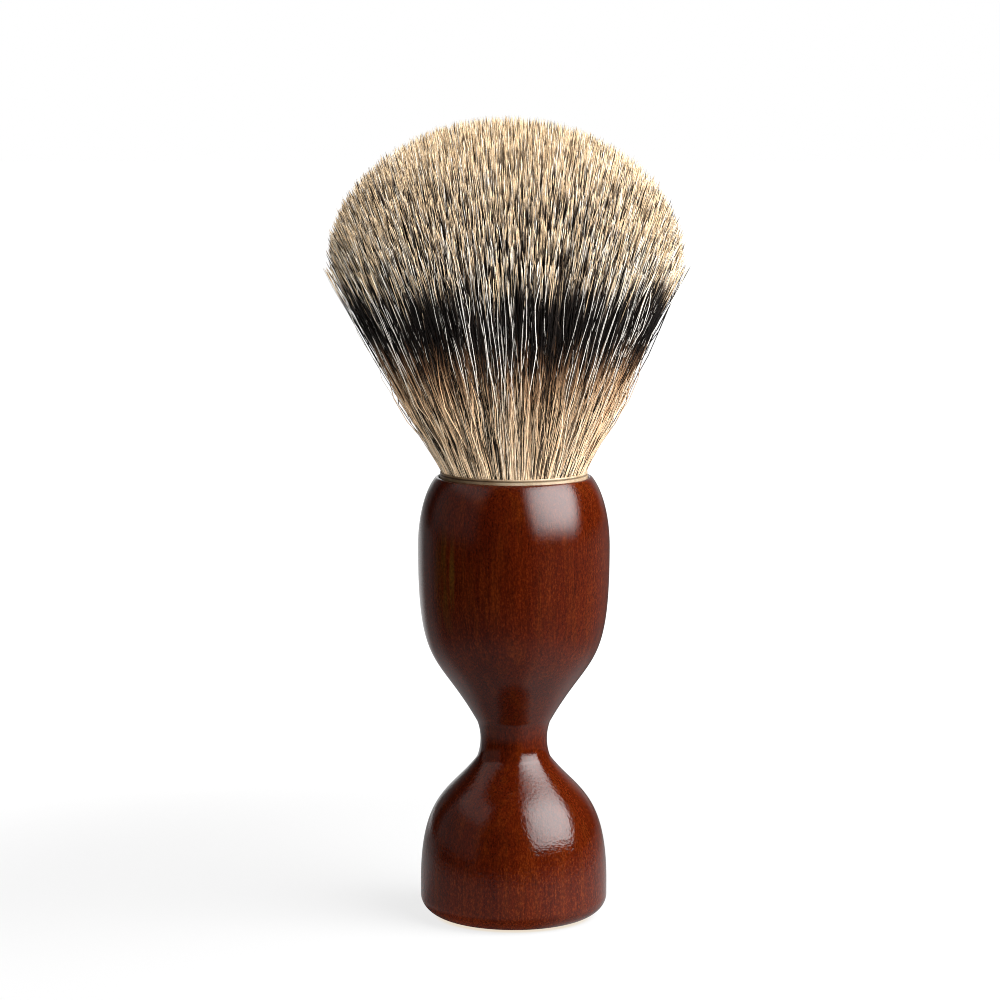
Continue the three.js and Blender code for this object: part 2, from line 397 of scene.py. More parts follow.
def set_epoxy():
    """Cloudy resin with bubbles."""
    clear = (0.44, 0.36, 0.2, 1)
    milky = (0.58, 0.51, 0.36, 1)
    bubble = (0.3, 0.24, 0.13, 1)
    material, tree, shader = start_material("set_epoxy")
    place = surface_place(tree)
    cloud = streaks(tree, place, 420, detail=4)
    bubbles = add_node(tree, "TexVoronoi", {"Vector": place, "Scale": 1600}).outputs["Distance"]
    outside = spread(tree, bubbles, 0.08, 0.2)
    tone = blend_colours(tree, spread(tree, cloud, 0.35, 0.65), clear, milky)
    tone = blend_colours(tree, outside, bubble, tone)
    roughness = spread(tree, cloud, 0.3, 0.7, 0.32, 0.5)
    give_surface(tree, shader, tone, roughness, small_hills(tree, outside, bubble_depth))
    return material


def refinish(node, material):
    """Gives a piece of the CAD model its real surface."""
    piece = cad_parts[node]
    piece.data.materials.clear()
    piece.data.materials.append(material)


refinish("socket_adhesive", set_epoxy())


# Knot collar.
# The pale resin sleeve that the knot is potted in. It stands just proud of the wood as a thin ring,
# cut with one fine groove under a rounded lip, and its bore flares so that the hair can fan out.
adhesive_wall = 0.45 * mm
adhesive_bed = 1 * mm
collar_radius = socket_radius - adhesive_wall
collar_wall = 0.7 * mm
collar_rise = 0.9 * mm
lip_wall = 0.3 * mm
lip_height = 0.25 * mm
lip_round = 0.07 * mm
lip_flare_depth = 2 * mm
groove_width = 0.15 * mm
groove_depth = 0.15 * mm
collar_bottom = handle_height - socket_depth + adhesive_bed
collar_top = handle_height + collar_rise
collar_bore = collar_radius - collar_wall
lip_bore = collar_radius - lip_wall
groove_top = collar_top - lip_height
groove_bottom = groove_top - groove_width

speck_depth = 0.01 * mm
groove_shade_zone = (0.1 * mm, 0.18 * mm)
shaded_side_zone = (-9 * mm, 3 * mm)
resin_glow_depth = 0.5 * mm


def collar_outline():
    """Closed outline of the collar's wall, from the foot of its bore round to the flare."""
    round_level = collar_top - lip_round
    round_size = (lip_round, lip_round)
    outer_round = arc_points((collar_radius - lip_round, round_level), round_size, 0, math.pi / 2, steps=5)
    inner_round = arc_points((lip_bore + lip_round, round_level), round_size, math.pi / 2, math.pi, steps=5)
    groove = arc_points(
        (collar_radius, (groove_top + groove_bottom) / 2),
        (groove_depth, groove_width / 2),
        -math.pi / 2,
        -math.pi * 3 / 2,
        steps=8,
    )
    foot = [(collar_bore, collar_bottom), (collar_radius, collar_bottom)]
    flare = [(collar_bore, collar_top - lip_flare_depth)]
    return np.concatenate([foot, groove, outer_round, inner_round, flare])


def ivory_resin():
    """Cast resin, cream with faint darker clouds, painted shade in its groove and on its left side, and a
    satin surface.
    """
    pale = (0.64, 0.51, 0.36, 1)
    stained = (0.42, 0.3, 0.18, 1)
    brown_speck = (0.26, 0.16, 0.08, 1)
    groove_shade_tone = (0.2, 0.13, 0.07, 1)
    painted_shade_tint = (0.5, 0.4, 0.3, 1)
    material, tree, shader = start_material("ivory_resin")
    place = surface_place(tree)
    aside, _, height = split_place(tree, place)
    cloud = streaks(tree, place, 520, detail=5)
    speck = streaks(tree, place, 4200, detail=2)
    tone = blend_colours(tree, spread(tree, cloud, 0.4, 0.68), pale, stained)
    tone = blend_colours(tree, spread(tree, speck, 0.62, 0.72, 0.0, 0.7), tone, brown_speck)
    # Painted shade: the colour darkens in and round the groove, where shade falls.
    above_groove = math_node(tree, "SUBTRACT", height, (groove_top + groove_bottom) / 2)
    off_groove = math_node(tree, "ABSOLUTE", above_groove)
    tone = blend_colours(tree, spread(tree, off_groove, *groove_shade_zone, 0.7, 0.0), tone, groove_shade_tone)
    # Painted shade: the left side of the ring, turned away from the softbox, is darker.
    shaded_side_tone = blend_colours(tree, 1.0, tone, painted_shade_tint, "MULTIPLY")
    tone = blend_colours(tree, spread(tree, aside, *shaded_side_zone, 1.0, 0.0), tone, shaded_side_tone)
    roughness = spread(tree, cloud, 0.3, 0.7, 0.3, 0.45)
    give_surface(tree, shader, tone, roughness, small_hills(tree, speck, speck_depth))
    shader.inputs["Subsurface Weight"].default_value = 0.15
    shader.inputs["Subsurface Radius"].default_value = (0.6, 0.4, 0.2)
    shader.inputs["Subsurface Scale"].default_value = resin_glow_depth
    return material


collar = turned_mesh("knot_collar_ring", collar_outline(), turning_segments, closed=True)
crisp_edges(collar, degrees=35)
collar.data.materials.append(ivory_resin())
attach(collar, "root")
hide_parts("knot_collar")


# Root plug.
# The bundle of hair roots, soaked in amber potting resin and set hard inside the collar.
# Cut ends of hair show in it as fine upright fibres.
root_relief = 0.03 * mm


def potting_resin():
    """Amber resin full of upright hair roots."""
    amber = (0.26, 0.15, 0.055, 1)
    pale_root = (0.5, 0.37, 0.2, 1)
    material, tree, shader = start_material("potting_resin")
    place = surface_place(tree)
    roots = streaks(tree, drawn_out(tree, place, 0.04), 4200, detail=2)
    cloud = streaks(tree, place, 380, detail=3)
    tone = blend_colours(tree, spread(tree, roots, 0.42, 0.62), amber, pale_root)
    tone = scaled_colour(tree, tone, spread(tree, cloud, 0.3, 0.7, 0.8, 1.15))
    roughness = spread(tree, roots, 0.3, 0.7, 0.22, 0.4)
    give_surface(tree, shader, tone, roughness, small_hills(tree, roots, root_relief))
    return material


potting = potting_resin()
refinish("root_plug", potting)


# Binding thread.
# Waxed thread wound round the roots before potting, which holds the bundle together.
# Its plies show as fine slanting ridges.
ply_depth = 0.04 * mm
ply_slant = (0.6, 0.5, 0)


def waxed_thread():
    """Off-white twisted thread, with painted shade in the hollows between its plies and a dull wax shine.
    """
    hollow = (0.42, 0.37, 0.27, 1)
    ridge = (0.7, 0.66, 0.54, 1)
    fuzz_white = (0.8, 0.77, 0.68, 1)
    material, tree, shader = start_material("waxed_thread")
    place = surface_place(tree)
    slant = add_node(tree, "Mapping", {"Vector": place, "Rotation": ply_slant}).outputs[0]
    plies = add_node(tree, "TexWave", {"Vector": slant, "Scale": 900, "Distortion": 1.5}).outputs["Fac"]
    fuzz = streaks(tree, place, 6000, detail=2)
    # Painted shade: the thread is darker in the hollows between its plies.
    tone = blend_colours(tree, plies, hollow, ridge)
    tone = blend_colours(tree, spread(tree, fuzz, 0.5, 0.8, 0.0, 0.4), tone, fuzz_white)
    roughness = spread(tree, fuzz, 0.3, 0.7, 0.45, 0.7)
    give_surface(tree, shader, tone, roughness, small_hills(tree, plies, ply_depth))
    return material


refinish("binding_thread", waxed_thread())


# Root bed.
# The top of the potted mass, where the hair comes out of the resin.
# Resin creeps a little way up the bore and between the hairs, so the bed is dished at its rim.
bed_depth_in_collar = 1.8 * mm
bed_thickness = 2 * mm
bed_gap = 0.08 * mm
bed_top = collar_top - bed_depth_in_collar
bed_bottom = bed_top - bed_thickness
bed_radius = collar_bore - bed_gap
bed_creep = 0.35 * mm
bed_segments = 96


def bed_outline():
    """Half outline of the bed, a disc with a raised rim."""
    dish_level = bed_top - bed_creep
    dish = swept_points(
        (bed_radius, bed_top),
        (bed_radius - bed_creep, bed_top),
        (bed_radius - 2 * bed_creep, dish_level),
        (bed_radius - 5 * bed_creep, dish_level),
        steps=10,
    )
    foot = [(0, bed_bottom), (bed_radius, bed_bottom)]
    return np.concatenate([foot, dish, [(0, dish_level)]])


bed = turned_mesh("hair_root_bed", bed_outline(), bed_segments)
crisp_edges(bed, degrees=40)
bed.data.materials.append(potting)
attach(bed, "root")


# Hair knot.
# About nineteen thousand badger hairs, set in small tufts and fanned out over the collar's lip.
# Each has a cream tip, a black band and a tan root, and the tips form one rounded dome.
root_inset = 0.55 * mm
root_set_in = 0.5 * mm
lip_overhang = 0.16 * mm
lip_gap = 0.1 * mm
root_radius = collar_bore - root_inset
root_height = bed_top - root_set_in
lip_reach = lip_bore + lip_overhang
lip_level = collar_top + lip_gap
fan_slope = 0.508
fan_bow = 0.15 * mm
crown_radius = 25.3 * mm
crown_rise = 30 * mm
dome_height = 20.5 * mm
knot_lean = np.array([-1.1 * mm, 0])
hairs_in_tuft = 10
tufts_in_knot = 1920
golden_turn = math.pi * (3 - math.sqrt(5))
# Each ring's piece, the node that it replaces, its slot, and where its tufts begin and end.
hair_rings = [
    ("hair_core_tufts", "hair_core", "hair_tips", 0, 480),
    ("hair_inner_tufts", "hair_inner", "hair_tips", 480, 960),
    ("hair_middle_tufts", "hair_middle", "hair_band", 960, 1440),
    ("hair_outer_tufts", "hair_outer", "hair_base", 1440, 1680),
    ("hair_rim_tufts", "hair_outer", "hair_base", 1680, 1920),
]

# How the hairs of a tuft scatter, mostly as shares of the knot's radius or of a hair's length.
tuft_scatter = 0.24 * mm
gather_share = 0.45
loose_rim_shares = (0.82, 0.92)
wanderers_share = 0.28
far_wander_share = 0.11
near_wander_share = 0.045
packed_share = 0.955
strays_share = 0.3
stray_reach_share = 0.045
short_hairs_share = 0.25
most_cut_share = 0.1
uneven_cut_share = 0.011
slow_waves = (0.7, 2.0)
quick_waves = (2.0, 3.4)
wave_swings = np.array([0.5 * mm, 0.13 * mm])
widest_swing = 1.9
swing_growth = 3
tip_calm_share = 0.3
pale_lift = 0.45 * mm
pale_lift_shares = (0.75, 0.95)

# Shares of the pale, grey and dark hairs. Pale and grey are commoner at the outside.
outside_shares = (0.78, 0.94)
pale_hairs_shares = (0.065, 0.11)
grey_hairs_shares = (0.14, 0.34)
grey_tufts_shares = (0.4, 1.6)
dark_tufts_shares = (0.32, 0.04)

# Each hair's thickness, from its root to its tip.
shown_stations = np.array([0.0, 0.06, 0.14, 0.24, 0.35, 0.46, 0.57, 0.68, 0.79, 0.89, 0.982, 1.0])
buried_stations = np.array([0.0, 0.25, 0.5, 0.7, 0.86, 0.982, 1.0])
hair_sides = 3
girth_places = [0.0, 0.3, 0.6, 0.8, 0.982, 1.0]
girth_sizes = [0.052 * mm, 0.055 * mm, 0.059 * mm, 0.061 * mm, 0.055 * mm, 0.044 * mm]
girth_range = (0.75, 1.25)
pale_girth = 0.8

# The marking map: one column for each look of hair, with the tips at its top edge.
map_length = 60 * mm
variants = 256
pale_columns = 64
grey_columns = 56
dark_columns = 44
tan_columns = variants - pale_columns - grey_columns - dark_columns
column_margin_share = 0.1
# The black band of many hairs aimed away from the dome's middle, fewer at its sides, is moved toward the
# tip: partly a real spread of the band, partly painted shade in the gaps between the tips of the lower
# dome.
band_shade_shift = 5.0 * mm
deep_shares = (0.3, 0.7)
side_shares = (0.45, 0.95)
side_calm_share = 0.35
marking_end = 13 * mm
marking_fade = 9 * mm


def rising(values, start, end):
    """Zero up to the start, one from the end on, and even between them."""
    return np.clip((values - start) / (end - start), 0, 1)


def between(ends, share):
    """A value that lies at a share of the way between two others."""
    return ends[0] + (ends[1] - ends[0]) * share


def limited(places, reach, limit):
    """Draws in the places that lie further out than the limit."""
    least_reach = 1e-6
    return places * np.minimum(1, limit / np.maximum(reach, least_reach))[:, None]


def tip_rise(share):
    """Height of a hair's tip above the lip, where its ray meets the dome."""
    squared = share**2 / crown_radius**2
    square_part = fan_slope**2 * squared + 1 / dome_height**2
    half_part = lip_reach * fan_slope * squared - crown_rise / dome_height**2
    fixed_part = lip_reach**2 * squared + crown_rise**2 / dome_height**2 - 1
    return (np.sqrt(half_part**2 - square_part * fixed_part) - half_part) / square_part


def tuft_places(first, last):
    """Middles of the tufts as shares of the knot's radius, packed like a sunflower's seeds."""
    index = np.arange(first, last)
    share = np.sqrt((index + 0.5) / tufts_in_knot)
    turn = index * golden_turn
    places = np.stack([share * np.cos(turn), share * np.sin(turn)], axis=1)
    return np.repeat(places, hairs_in_tuft, axis=0)


def hair_aims(tuft, root, rng):
    """Where each hair points: it keeps to its tuft inside the knot, wanders, and may stray outside."""
    count = len(tuft)
    inside = 1 - rising(np.linalg.norm(tuft, axis=1), *loose_rim_shares)
    gather = (rng.uniform(0.0, gather_share, count) * inside)[:, None]
    aim = root * (1 - gather) + tuft * gather
    wander = np.where(rng.random(count) < wanderers_share, far_wander_share, near_wander_share)
    aim = aim + rng.normal(0, 1, (count, 2)) * wander[:, None]
    aim_share = np.linalg.norm(aim, axis=1)
    is_stray = rng.random(count) < strays_share
    stray = np.where(is_stray, np.abs(rng.normal(0, stray_reach_share, count)), 0)
    return limited(aim, aim_share, packed_share + stray), aim_share


def hair_lengths(aim_share, rng):
    """How high each hair rises above the lip: up to the dome, less what it falls short."""
    count = len(aim_share)
    is_short = rng.random(count) < short_hairs_share
    cut = rng.uniform(0, most_cut_share, count)
    uneven = np.abs(rng.normal(0, uneven_cut_share, count))
    return tip_rise(np.minimum(aim_share, 1)) * (1 - np.where(is_short, cut, uneven))


def hair_paths(first, last, stations, rng):
    """Places along every hair of a ring of tufts, how far its marking is shifted, and its column."""
    tuft = tuft_places(first, last)
    count = len(tuft)
    root = tuft + rng.normal(0, tuft_scatter / root_radius, (count, 2))
    root = limited(root, np.linalg.norm(root, axis=1), 1)
    aim, aim_share = hair_aims(tuft, root, rng)
    rise = hair_lengths(aim_share, rng)
    tip = aim * (lip_reach + fan_slope * rise)[:, None] + knot_lean
    phases = rng.uniform(0, 2 * math.pi, (2, count))
    waves = np.stack([rng.uniform(*slow_waves, count), rng.uniform(*quick_waves, count)])
    swings = np.clip(rng.normal(0, 1, (2, count, 2)), -widest_swing, widest_swing)
    swings = swings * wave_swings[:, None, None]
    leaning = np.repeat(rng.random(last - first), hairs_in_tuft)
    column = hair_columns(aim_share, leaning, rng)
    lift = np.where(column < pale_columns, rising(aim_share, *pale_lift_shares), 0)
    bow = fan_bow + pale_lift * lift * rng.uniform(0, 1, count)
    lip = root * lip_reach
    places = [np.column_stack([root * root_radius, np.full(count, root_height)])]
    for along in stations:
        level = lip * (1 - along) + tip * along
        level = level + aim * (bow * 4 * along * (1 - along))[:, None]
        freedom = min(1, along * swing_growth) * (1 - tip_calm_share * along)
        for wave, phase, swing in zip(waves, phases, swings):
            bend = np.sin(wave * along * 2 * math.pi + phase) - np.sin(phase) * (1 - along)
            level = level + swing * (bend * freedom)[:, None]
        places.append(np.column_stack([level, lip_level + rise * along]))
    # Partly painted shade: the black band moves toward the tip, to darken the gaps between tips.
    deep = rising(aim_share, *deep_shares)
    sideways = rising(np.abs(aim[:, 0]), *side_shares)
    marking = band_shade_shift * deep * (1 - side_calm_share * sideways) * rng.uniform(0, 1, count)
    return np.stack(places, axis=1), marking, column


def hair_columns(aim_share, leaning, rng):
    """Picks each hair's kind, with more grey hairs in some tufts and outside, and its column."""
    outside = rising(aim_share, *outside_shares)
    pale_share = between(pale_hairs_shares, outside)
    grey_share = between(grey_hairs_shares, outside) * between(grey_tufts_shares, leaning)
    dark_share = between(dark_tufts_shares, leaning)
    draw = rng.random(len(aim_share))
    pick = rng.random(len(aim_share))
    kinds = [draw > 1 - dark_share, draw < pale_share, draw < pale_share + grey_share]
    low = np.select(kinds, [variants - dark_columns, 0, pale_columns], pale_columns + grey_columns)
    wide = np.select(kinds, [dark_columns, pale_columns, grey_columns], tan_columns)
    return low + np.floor(pick * wide)


def tube_corners(paths, stations, column, rng):
    """Corners of closed tubes that swell and then taper to a point, one tube for each path."""
    count = len(paths)
    rings = len(stations)
    radii = np.interp(np.insert(stations[:-1], 0, 0.0), girth_places, girth_sizes)
    axis = paths[:, -1] - paths[:, 0]
    axis /= np.linalg.norm(axis, axis=1)[:, None]
    side = np.cross(axis, rng.normal(0, 1, (count, 3)))
    side /= np.linalg.norm(side, axis=1)[:, None]
    other = np.cross(axis, side)
    girth = rng.uniform(*girth_range, count) * np.where(column < pale_columns, pale_girth, 1)
    turns = 2 * math.pi * np.arange(hair_sides) / hair_sides
    spokes = np.cos(turns)[:, None, None] * side + np.sin(turns)[:, None, None] * other
    offset = spokes.transpose(1, 0, 2)[:, None] * radii[None, :, None, None]
    offset = offset * girth[:, None, None, None]
    tubes = (paths[:, :rings, None] + offset).reshape(count, rings * hair_sides, 3)
    return np.concatenate([tubes, paths[:, -1:]], axis=1)


def tube_faces(rings):
    """Faces of one tube, and each corner's place on the tube's own map, round it and along it."""
    ring = range(hair_sides)
    faces = [tuple(reversed(ring))]
    marks = [tuple((side, 0) for side in ring)]
    for level in range(rings - 1):
        for side in ring:
            after = (side + 1) % hair_sides
            low = level * hair_sides
            high = low + hair_sides
            faces.append((low + side, low + after, high + after, high + side))
            low_marks = ((side, level), (side + 1, level))
            marks.append((*low_marks, (side + 1, level + 1), (side, level + 1)))
    top = (rings - 1) * hair_sides
    point = rings * hair_sides
    for side in ring:
        faces.append((top + side, top + (side + 1) % hair_sides, point))
        marks.append(((side, rings - 1), (side + 1, rings - 1), (side + 0.5, rings)))
    return faces, marks


def lay_on_map(mesh, paths, marks, marking, column):
    """Lays every hair in its column of the marking map, at its distances from its tip."""
    steps = np.linalg.norm(np.diff(paths, axis=1), axis=2)
    past = np.cumsum(steps[:, ::-1], axis=1)[:, ::-1]
    from_tip = np.concatenate([past, np.zeros((len(paths), 1))], axis=1)
    near_tip = np.clip((marking_end - from_tip) / marking_fade, 0, 1)
    marked = from_tip + marking[:, None] * near_tip
    flat = [mark for group in marks for mark in group]
    round_share = np.array([mark[0] for mark in flat]) / hair_sides
    level = np.array([mark[1] for mark in flat])
    inner_share = 1 - 2 * column_margin_share
    across = (column[:, None] + column_margin_share + inner_share * round_share[None, :]) / variants
    upward = 1 - marked[:, level] / map_length
    layer = mesh.uv_layers.new(name="OFBake")
    layer.data.foreach_set("uv", np.stack([across, upward], axis=2).ravel())


def hair_mesh(name, paths, stations, marking, column, rng):
    """The hairs of one ring of tufts as one mesh of closed tubes."""
    corners = tube_corners(paths, stations, column, rng)
    faces, marks = tube_faces(len(stations))
    per_hair = corners.shape[1]
    every_face = [
        tuple(first + corner for corner in face)
        for first in range(0, len(paths) * per_hair, per_hair)
        for face in faces
    ]
    mesh = bpy.data.meshes.new(name)
    mesh.from_pydata(corners.reshape(-1, 3), [], every_face)
    lay_on_map(mesh, paths, marks, marking, column)
    mesh.shade_smooth()
    return add_object(name, mesh)


# Colours of the four kinds of hair, from the tip to the root, at shares of the map's length.
banded_colours = [
    (0.0, (0.5, 0.36, 0.21)),
    (0.03, (0.74, 0.54, 0.33)),
    (0.07, (0.7, 0.53, 0.35)),
    (0.09, (0.14, 0.1, 0.075)),
    (0.108, (0.009, 0.0075, 0.007)),
    (0.212, (0.008, 0.0065, 0.006)),
    (0.256, (0.12, 0.058, 0.029)),
    (0.315, (0.46, 0.27, 0.145)),
    (0.4, (0.76, 0.52, 0.31)),
    (0.75, (0.88, 0.67, 0.45)),
    (1.0, (0.94, 0.77, 0.57)),
]
grey_colours = [
    (0.0, (0.58, 0.46, 0.32)),
    (0.03, (0.8, 0.68, 0.52)),
    (0.06, (0.84, 0.77, 0.66)),
    (0.085, (0.22, 0.18, 0.15)),
    (0.1, (0.012, 0.01, 0.009)),
    (0.217, (0.008, 0.0065, 0.006)),
    (0.265, (0.15, 0.082, 0.045)),
    (0.322, (0.48, 0.31, 0.18)),
    (0.41, (0.78, 0.58, 0.38)),
    (0.75, (0.88, 0.7, 0.5)),
    (1.0, (0.94, 0.79, 0.6)),
]
pale_colours = [
    (0.0, (0.76, 0.62, 0.44)),
    (0.03, (0.88, 0.79, 0.64)),
    (0.08, (0.94, 0.9, 0.84)),
    (0.24, (0.93, 0.86, 0.78)),
    (0.33, (0.92, 0.76, 0.57)),
    (1.0, (0.92, 0.76, 0.56)),
]
dark_colours = [
    (0.0, (0.07, 0.048, 0.03)),
    (0.03, (0.11, 0.075, 0.046)),
    (0.07, (0.014, 0.01, 0.008)),
    (0.38, (0.009, 0.0068, 0.006)),
    (0.55, (0.035, 0.024, 0.016)),
    (0.78, (0.1, 0.066, 0.042)),
    (1.0, (0.3, 0.2, 0.13)),
]
hair_grey_tint = (0.78, 0.78, 0.76, 1)
most_greying_share = 0.25
shift_share = 0.07
mottles_along = 90
hair_relief = 0.01 * mm
other_draw = 0.37


def marked_colour(tree, along, stops):
    """Colour at a place along the hair, from stops of a place and a colour."""
    ramp = add_node(tree, "ValToRGB", {0: along})
    elements = ramp.color_ramp.elements
    while len(elements) < len(stops):
        elements.new(0.5)
    for element, (position, colour) in zip(elements, stops):
        element.position = position
        element.color = (*colour, 1)
    return ramp.outputs[0]


def column_chances(tree, column, offset):
    """Three values by chance for each column of the marking map."""
    seed = math_node(tree, "ADD", column, offset)
    noise = add_node(tree, "TexWhiteNoise", {"W": seed}, noise_dimensions="1D")
    parts = add_node(tree, "SeparateColor", {0: noise.outputs["Color"]}).outputs
    return parts[0], parts[1], parts[2]


def blend_values(tree, share, first, second):
    """A value between two others."""
    return add_node(tree, "Mix", {0: share, 2: first, 3: second}).outputs[0]


def banded_hair():
    """Badger hair, coloured by the distance from its tip, with paler and darker hairs among the rest."""
    material, tree, shader = start_material("badger_hair")
    spot = add_node(tree, "UVMap", uv_map="OFBake").outputs["UV"]
    across, upward, _ = split_place(tree, spot)
    column = math_node(tree, "FLOOR", product(tree, across, variants))
    from_tip = math_node(tree, "SUBTRACT", 1.0, upward)
    shift_chance, _, plain_chance = column_chances(tree, column, 0.0)
    grey_chance, tip_chance, root_chance = column_chances(tree, column, other_draw)
    shift = math_node(tree, "MULTIPLY_ADD", shift_chance, shift_share, -shift_share / 2)
    marked = total(tree, from_tip, shift)
    is_pale = math_node(tree, "LESS_THAN", column, pale_columns - 0.5)
    is_grey = math_node(tree, "LESS_THAN", column, pale_columns + grey_columns - 0.5)
    is_dark = math_node(tree, "GREATER_THAN", column, variants - dark_columns - 0.5)
    tone = marked_colour(tree, marked, banded_colours)
    tone = blend_colours(tree, is_grey, tone, marked_colour(tree, marked, grey_colours))
    tone = blend_colours(tree, is_pale, tone, marked_colour(tree, marked, pale_colours))
    tone = blend_colours(tree, is_dark, tone, marked_colour(tree, marked, dark_colours))
    greyer_tone = blend_colours(tree, 1.0, tone, hair_grey_tint, "MULTIPLY")
    greyness = product(tree, grey_chance, most_greying_share)
    tone = blend_colours(tree, greyness, tone, greyer_tone)
    tip_shade = spread(tree, tip_chance, 0.1, 0.5, 0.45, 1.18)
    root_shade = spread(tree, root_chance, 0.12, 0.6, 0.18, 1.24)
    shade = blend_values(tree, spread(tree, from_tip, 0.16, 0.32), tip_shade, root_shade)
    pale_shade = math_node(tree, "MULTIPLY_ADD", plain_chance, 0.2, 0.86)
    shade = blend_values(tree, is_pale, shade, pale_shade)
    mottle_along = product(tree, from_tip, mottles_along)
    mottle_place = add_node(tree, "CombineXYZ", {0: column, 1: mottle_along}).outputs[0]
    mottle = streaks(tree, mottle_place, 1.0, detail=2)
    shade = product(tree, shade, spread(tree, mottle, 0.3, 0.7, 0.86, 1.04))
    roughness = spread(tree, mottle, 0.3, 0.7, 0.34, 0.5)
    hills = small_hills(tree, mottle, hair_relief)
    give_surface(tree, shader, scaled_colour(tree, tone, shade), roughness, hills)
    shader.inputs["Specular IOR Level"].default_value = 0.2
    return material


hair = banded_hair()
hair_pieces = []
rng = np.random.default_rng(417)
for name, node, slot, first, last in hair_rings:
    stations = shown_stations if node == "hair_outer" else buried_stations
    paths, marking, column = hair_paths(first, last, stations, rng)
    hair_piece = hair_mesh(name, paths, stations, marking, column, rng)
    hair_piece.data.materials.append(hair)
    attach(hair_piece, "root")
    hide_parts(node)
    hair_pieces.append(hair_piece)


# Table.
# A plain white table, wide enough to run out of every view. It takes the brush's soft shadow.
# In the lacquer it shows as a dim sheet that fades away from the brush, and is bright far off behind.
table_half = 3000 * mm
# Distances from the middle of the foot, between which each part of the table's glow changes.
shadow_zone = (70 * mm, 185 * mm)
warm_bounce_zone = (10.4 * mm, 11.8 * mm)
bounce_zone = (15 * mm, 55 * mm)
foot_shade_zone = (13.5 * mm, 16 * mm)
near_sheet_zone = (50 * mm, 110 * mm)
sheet_end_zone = (90 * mm, 220 * mm)
right_sheet_zone = (10 * mm, 120 * mm)
far_start_zone = (60 * mm, 260 * mm)
far_end_zone = (420 * mm, 900 * mm)


def table_in_lacquer(tree, place, away):
    """Brightness of the table as the lacquer mirrors it, by distance and direction from the brush."""
    aside, behind, _ = split_place(tree, place)
    rightward = math_node(tree, "DIVIDE", aside, away)
    backward = math_node(tree, "DIVIDE", behind, away)
    # Painted shade: the mirrored sheet is darkest where the foot meets the table.
    near = product(
        tree,
        spread(tree, away, *foot_shade_zone, 0.04, 0.19),
        spread(tree, away, *near_sheet_zone, 1.0, 0.36),
        spread(tree, away, *sheet_end_zone, 1.0, 0.1),
    )
    right = product(
        tree,
        spread(tree, rightward, 0.15, 0.8),
        spread(tree, away, *right_sheet_zone, 0.27, 0.11),
    )
    back = product(
        tree,
        spread(tree, backward, 0.1, 0.6, 0.0, 0.16),
        spread(tree, rightward, -0.1, 0.5, 1.0, 0.2),
    )
    back_left = math_node(tree, "MULTIPLY_ADD", rightward, -0.3, backward)
    far_left = product(
        tree,
        spread(tree, back_left, 0.93, 1.03, 0.0, 0.6),
        spread(tree, away, *far_start_zone),
        spread(tree, away, *far_end_zone, 1.0, 0.2),
    )
    return total(tree, near, right, back, far_left)


def white_table():
    """White surface that is bright everywhere and shows only a light shadow round the foot, with painted
    warm bounce light just under the foot's edge.
    """
    white = (1, 1, 1, 1)
    painted_warm_bounce = (1, 0.86, 0.66, 1)
    material, tree, shader = start_material("white_table")
    place = surface_place(tree)
    away = add_node(tree, "VectorMath", {0: place}, operation="LENGTH").outputs["Value"]
    rays = add_node(tree, "LightPath").outputs
    seen = product(tree, rays["Is Camera Ray"], spread(tree, away, *shadow_zone, 0.8, 1.02))
    mirrored = table_in_lacquer(tree, place, away)
    glow = math_node(tree, "MULTIPLY_ADD", rays["Is Glossy Ray"], mirrored, seen)
    bounce = spread(tree, away, *bounce_zone, 1.25, 0.45)
    glow = math_node(tree, "MULTIPLY_ADD", rays["Is Diffuse Ray"], bounce, glow)
    # Painted light: a warm tint, as of light bounced from the red wood, just under the foot's rounded edge.
    warm_bounce_share = product(tree, spread(tree, away, *warm_bounce_zone, 0.8, 0.0), rays["Is Camera Ray"])
    grain = streaks(tree, place, 900, detail=2)
    tree.links.new(product(tree, rays["Is Camera Ray"], 0.16), shader.inputs["Base Color"])
    tree.links.new(spread(tree, grain, 0.3, 0.7, 0.75, 0.9), shader.inputs["Roughness"])
    tree.links.new(blend_colours(tree, warm_bounce_share, white, painted_warm_bounce), shader.inputs["Emission Color"])
    tree.links.new(glow, shader.inputs["Emission Strength"])
    shader.inputs["Specular IOR Level"].default_value = 0.0
    material.cycles.emission_sampling = "NONE"
    return material


table_mesh = bpy.data.meshes.new("table")
table_corners = [(-table_half, -table_half, 0), (table_half, -table_half, 0)]
table_corners += [(table_half, table_half, 0), (-table_half, table_half, 0)]
table_mesh.from_pydata(table_corners, [], [(0, 1, 2, 3)])
table = add_object("table", table_mesh)
table.data.materials.append(white_table())
table.visible_shadow = False


# Studio light.
# One large softbox at the front right and a weak fill at the left light the brush, and three lamps
# light the hair alone, as light does that passes through pale hair. A white wall behind and a dim
# panel at the left show in the lacquer, and the rest of the room is dark.
lamp_target_height = 50 * mm
softbox_azimuth = 61
softbox_elevation = 34
softbox_distance = 600 * mm
softbox_power = 30
softbox_width = 1000 * mm
softbox_height = 1040 * mm
softbox_lift = 110 * mm
softbox_middle = (50 * mm, 0, 0)
softbox_glow = (80 * mm, 500 * mm)
# Each edge of the lit face in metres: a place on it, the way inward, and its softness.
softbox_edges = [
    ((-0.42, 0.0), (1.0, 0.0), 0.07),
    ((-0.42, 0.0), (0.857, -0.514), 0.06),
    ((-0.1, -0.285), (0.083, 1.0), 0.045),
    ((0.27, -0.25), (-0.941, 0.339), 0.04),
    ((0.0, 0.41), (0.0, -1.0), 0.18),
]
fill_size = (900 * mm, 700 * mm)
fill_distance = 700 * mm
